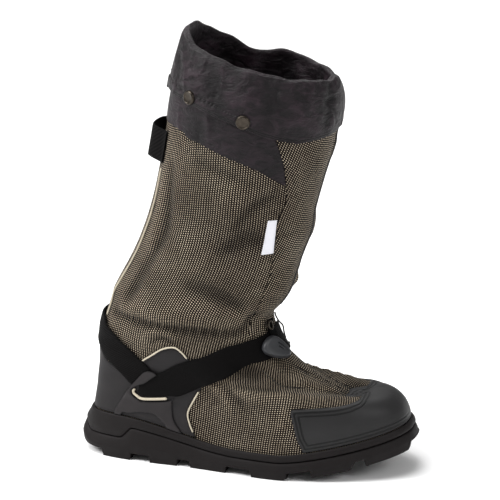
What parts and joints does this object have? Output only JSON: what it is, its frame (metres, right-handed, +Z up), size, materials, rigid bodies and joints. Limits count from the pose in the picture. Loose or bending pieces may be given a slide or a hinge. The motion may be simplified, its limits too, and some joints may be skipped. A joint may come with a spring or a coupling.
{
  "type": "winter overshoe",
  "caption": "Tall insulated winter overshoe for the right foot: fabric shaft, turned-down nylon cuff, strap with buckle, toe cap and lugged rubber sole.",
  "frame": {"origin": "on the floor, at the middle of the flat heel rest under the heel's centre lug", "axes": "+Z up, +X from the heel to the toe, -Y towards the outer (lateral) side of the right foot"},
  "size_m": [0.3383, 0.1558, 0.4319],
  "materials": {
    "rubber": "matte black moulded rubber",
    "cap_rubber": "satin black moulded rubber",
    "felt": "dark felt",
    "woven_fabric": "coarse coated weave, tan dots on dark brown",
    "nylon": "smooth black nylon with a faint sheen",
    "counter": "matte black coated synthetic",
    "stay": "smooth black synthetic",
    "webbing": "black woven webbing",
    "buckle": "satin grey-black plastic",
    "gunmetal": "dark antique metal",
    "label": "bare white woven label",
    "piping": "light cream piping",
    "cord": "thin black cord"
  },
  "bodies": {
    "root": {"outsole": "rubber", "midsole": "rubber", "insole": "felt", "upper": "woven_fabric", "front_flap": "woven_fabric", "collar_panel": "nylon", "cuff": "nylon", "toe_cap": "cap_rubber", "heel_counter": "counter", "side_stay_outer": "stay", "side_stay_inner": "stay", "heel_strap": "webbing", "instep_strap": "webbing", "buckle_strap": "webbing", "pull_loop": "webbing", "strap_buckle": "buckle", "cuff_snap_1": "gunmetal", "cuff_snap_2": "gunmetal", "cuff_snap_3": "gunmetal", "cuff_snap_4": "gunmetal", "side_label": "label", "piping_hook_outer": "piping", "piping_hook_inner": "piping", "piping_arc_outer": "piping", "piping_arc_inner": "piping", "piping_curve_outer": "piping", "piping_curve_inner": "piping", "piping_back": "piping", "pull_cord": "cord"}
  },
  "joints": []
}
